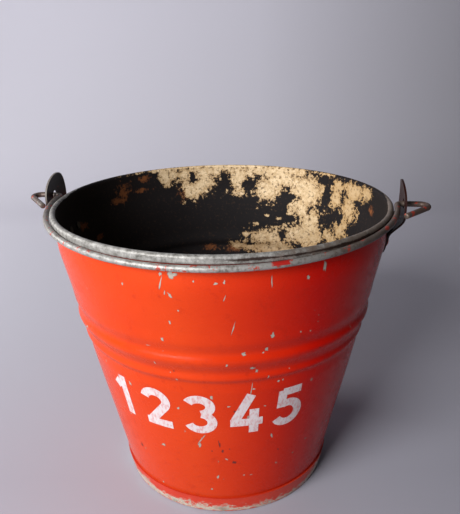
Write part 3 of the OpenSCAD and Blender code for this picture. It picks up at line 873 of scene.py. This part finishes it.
# painted shade: darker towards the hoop's top edge, in the crease where it meets the wall
painted_crease_shade_at_hoop_top = add(tree, "MapRange", place_z, HOOP_TOP - 2.5 * MM, HOOP_TOP + 0.5 * MM, 0.0, 0.15)
red = add(tree, "Mix", painted_crease_shade_at_hoop_top, red, linear("#4A1510"), data_type="RGBA")
primer = add(tree, "Mix", mottle, linear("#8B897A"), linear("#D6D0BE"), data_type="RGBA")
primer_dirt = add(tree, "MapRange", ragged, 0.5, 0.66, 0.0, 0.7)
primer = add(tree, "Mix", primer_dirt, primer, linear("#6C6A5A"), data_type="RGBA")
aside = add(tree, "Math", place_x, MOST_WORN_X, operation="SUBTRACT")
aside = add(tree, "Math", aside, operation="ABSOLUTE")
worn_up_to = add(tree, "MapRange", aside, 30 * MM, 110 * MM, 9.5 * MM, 5 * MM)
outermost = add(tree, "Math", place_x, operation="ABSOLUTE")
outermost = add(tree, "MapRange", outermost, 84 * MM, 98 * MM, 0.0, 9 * MM)
level = add(tree, "Math", worn_up_to, outermost, operation="ADD")
dragged = add(tree, "VectorMath", place, (1.0, 1.0, 4.0), operation="MULTIPLY")
crumbs = add(tree, "TexNoise", dragged, Scale=grain(5.2632), Detail=7.0, Roughness=0.72)
wave = add(tree, "Math", ragged, crumbs, operation="ADD")
wave = add(tree, "Math", wave, WEAR_WAVE, -WEAR_WAVE, operation="MULTIPLY_ADD")
level = add(tree, "Math", level, wave, operation="ADD")
below = add(tree, "Math", level, place_z, operation="SUBTRACT")
worn = add(tree, "MapRange", below, -0.2 * MM, 0.4 * MM, 0.0, 1.0)
edge_paint = add(tree, "MapRange", place_z, 1 * MM, 3 * MM, 0.07, -0.03)
edge_paint = add(tree, "Math", crumbs, edge_paint, operation="ADD")
paint_left = add(tree, "MapRange", edge_paint, 0.52, 0.56, 1.0, 0.1)
worn = add(tree, "Math", worn, paint_left, operation="MULTIPLY")
colour = add(tree, "Mix", worn, red, primer, data_type="RGBA")
bump = add(tree, "Bump", Height=mottle, Strength=0.25, Distance=0.4 * MM)
feed(shader, Base_Color=colour, Roughness=0.46, Normal=bump)

# %% [markdown]
# The ears were brushed black over the red. Paint is thin on the rim of the
# left one, so a pale line shows at its edge, a fixed distance from the hinge
# line. The right ear has gone a dark oxblood. Both ears share one material,
# and X tells them apart.

# %% Ear finish
EAR_EDGE = 22.2 * MM                  # distance from the hinge line to the pale line
ear_material, tree, shader, place = new_material("black_enamel_over_red_ears")
place_x = add(tree, "SeparateXYZ", place)
ragged = add(tree, "TexNoise", place, Scale=grain(10.526), Detail=8.0, Roughness=0.7)
dark = add(tree, "Mix", ragged, linear("#0B0808"), linear("#221512"), data_type="RGBA")
red_left = add(tree, "MapRange", ragged, 0.6, 0.66, 0.0, 0.8)
right_ear = add(tree, "MapRange", place_x, 0.0, 100 * MM, 0.0, 0.6)
from_hinge = add(tree, "VectorMath", place, (0.0, 0.0, HINGE_Z), operation="SUBTRACT")
from_hinge = add(tree, "VectorMath", from_hinge, (0.0, 1.0, 1.0), operation="MULTIPLY")
reach = add(tree, "VectorMath", from_hinge, operation="LENGTH")
reach = add(tree, "Math", ragged, 3 * MM, reach, operation="MULTIPLY_ADD")
rim = add(tree, "MapRange", reach, EAR_EDGE, EAR_EDGE + 0.6 * MM, 0.0, 0.85)
at_left = add(tree, "Math", place_x, 0.0, operation="LESS_THAN")
rim = add(tree, "Math", rim, at_left, operation="MULTIPLY")
for amount, tone in ((red_left, "#8C2A1A"), (right_ear, "#2E100C"), (rim, "#77706A")):
    dark = add(tree, "Mix", amount, dark, linear(tone), data_type="RGBA")
bump = add(tree, "Bump", Height=ragged, Strength=0.3, Distance=0.6 * MM)
feed(shader, Base_Color=dark, Roughness=0.42, Specular_IOR_Level=0.16, Normal=bump)

# %% [markdown]
# Rivets carry the red of the body with dark dirt; inside the neck their ends
# are black. The bottom plate is black like the lining, and brown with old
# water stains. The wire inside the rim is plain drawn steel. These pieces keep
# the frame's own shapes, which are fine enough, and only get their finish.

# %% Rivets, bottom plate and rim wire
rivet_material, tree, shader, place = new_material("red_enamel_on_rivets")
ragged = add(tree, "TexNoise", place, Scale=grain(5.5556), Detail=6.0, Roughness=0.7)
ragged = add(tree, "MapRange", ragged, 0.38, 0.62, 0.0, 1.0)
red = add(tree, "Mix", ragged, linear("#6E1C10"), linear("#D9381F"), data_type="RGBA")
from_axis = add(tree, "VectorMath", place, (1.0, 1.0, 0.0), operation="MULTIPLY")
from_axis = add(tree, "VectorMath", from_axis, operation="LENGTH")
outer_end = add(tree, "Math", from_axis, NECK_RADIUS - SHEET, operation="GREATER_THAN")
red = add(tree, "Mix", outer_end, linear("#1A1514"), red, data_type="RGBA")
feed(shader, Base_Color=red, Roughness=0.45)

bottom_material, tree, shader, place = new_material("bitumen_paint_with_water_stains")
ragged = add(tree, "TexNoise", place, Scale=grain(25), Detail=9.0, Roughness=0.7)
stained = add(tree, "MapRange", ragged, 0.5, 0.66, 0.0, 0.85)
black = add(tree, "Mix", stained, linear("#1A1716"), linear("#7D5B3F"), data_type="RGBA")
bump = add(tree, "Bump", Height=ragged, Strength=0.4, Distance=0.8 * MM)
feed(shader, Base_Color=black, Roughness=0.75, Normal=bump)

steel_material, tree, shader, place = new_material("plain_drawn_steel_wire")
drawn = add(tree, "TexNoise", place, Scale=grain(5), Detail=4.0)
steel = add(tree, "Mix", drawn, linear("#8E8C88"), linear("#B5B4B0"), data_type="RGBA")
feed(shader, Base_Color=steel, Metallic=1.0, Roughness=0.35)

for node_name, node_material in {
    "foot_hoop": hoop_material, "ear_left": ear_material, "ear_right": ear_material,
    "hoop_rivet": rivet_material, "ear_rivets_left": rivet_material, "ear_rivets_right": rivet_material,
    "bottom_plate": bottom_material, "rim_wire_ring": steel_material,
}.items():
    nodes[node_name].data.materials.clear()
    nodes[node_name].data.materials.append(node_material)
    print(f"{node_name}: {node_material.name}")

# %% [markdown]
# The photograph was taken on a pale grey sweep. Its paper is painted lighter towards the back and darker
# towards the right: painted light and shade for the lamps' fall-off. A flat floor that curves up into a
# wall, far behind, gives the same even ground with a soft shadow and no line where the two meet.

# %% Floor and backdrop
FLOOR_FRONT, FLOOR_BACK, FLOOR_HALF = -1.6, 0.9, 2.5
CURVE = 0.5
WALL_TOP = 2.4
level_part = np.linspace(FLOOR_FRONT, FLOOR_BACK, 12)
quarter = np.linspace(0, np.pi / 2, 14)[1:]
depth = np.concatenate([level_part, FLOOR_BACK + CURVE * np.sin(quarter), [FLOOR_BACK + CURVE]])
height = np.concatenate([0 * level_part, CURVE - CURVE * np.cos(quarter), [WALL_TOP]])
floor_x, floor_row = np.meshgrid(np.linspace(-FLOOR_HALF, FLOOR_HALF, 5), np.arange(len(depth)))
floor_points = np.stack([floor_x, depth[floor_row], height[floor_row]], axis=-1).reshape(-1, 3)
floor_points = floor_points @ np.array(Matrix.Rotation(TURN, 3, "Z")).T
floor = make_mesh("studio_sweep", floor_points, grid_faces(*floor_x.shape))
paper_material, tree, shader, place = new_material("pale_grey_paper")
away = add(tree, "VectorMath", place, turned((0, 1, 0)), operation="DOT_PRODUCT")
# painted light: the paper grows lighter towards the back
painted_light_to_back = add(tree, "MapRange", away, -0.05, 0.8, 0.0, 1.0)
paper = add(tree, "Mix", painted_light_to_back, linear("#9F9EA9"), linear("#D6D4DE"), data_type="RGBA")
aside = add(tree, "VectorMath", place, turned((1, 0, 0)), operation="DOT_PRODUCT")
# painted shade: the paper grows darker towards the right, where the light falls off
painted_shade_to_right = add(tree, "MapRange", aside, 0.12, 0.75, 0.0, 0.34)
paper = add(tree, "Mix", painted_shade_to_right, paper, linear("#3A3A40"), data_type="RGBA")
feed(shader, Base_Color=paper, Roughness=0.9)
floor.data.materials.append(paper_material)

# %% [markdown]
# A large soft lamp at the front left lights the bucket, and a second one
# further back on the left gives its left edge and the backdrop some light. A
# small lamp would cut hard shadows that the photograph doesn't have. The world
# adds a little even light so that shadows stay open.

# %% Lamps


def soft_lamp(name, place_, aim, size, watts, colour_):
    """A square area lamp at a place, pointed at a spot."""
    lamp = bpy.data.lights.new(name, "AREA")
    lamp.size = size
    lamp.energy = watts
    lamp.color = linear(colour_)[:3]
    holder = bpy.data.objects.new(name, lamp)
    bpy.context.scene.collection.objects.link(holder)
    holder.location = turned(place_)
    holder.rotation_euler = (turned(aim) - turned(place_)).to_track_quat("-Z", "Y").to_euler()
    print(f"lamp {name}: {watts} W, {size} m wide")


BUCKET_MIDDLE = (0, 0, 150 * MM)
soft_lamp("key_front_left", (-0.84, -1.08, 0.8), BUCKET_MIDDLE, 0.8, 36, "#FFFFFF")
soft_lamp("side_left", (-1.4, 0.35, 0.7), BUCKET_MIDDLE, 0.7, 12, "#FFFFFF")
world = bpy.data.worlds.new("studio")
world.use_nodes = True
feed(world.node_tree.nodes["Background"], Color=linear("#D0CFDA"), Strength=0.07)
bpy.context.scene.world = world
bpy.context.scene.view_settings.view_transform = "Standard"
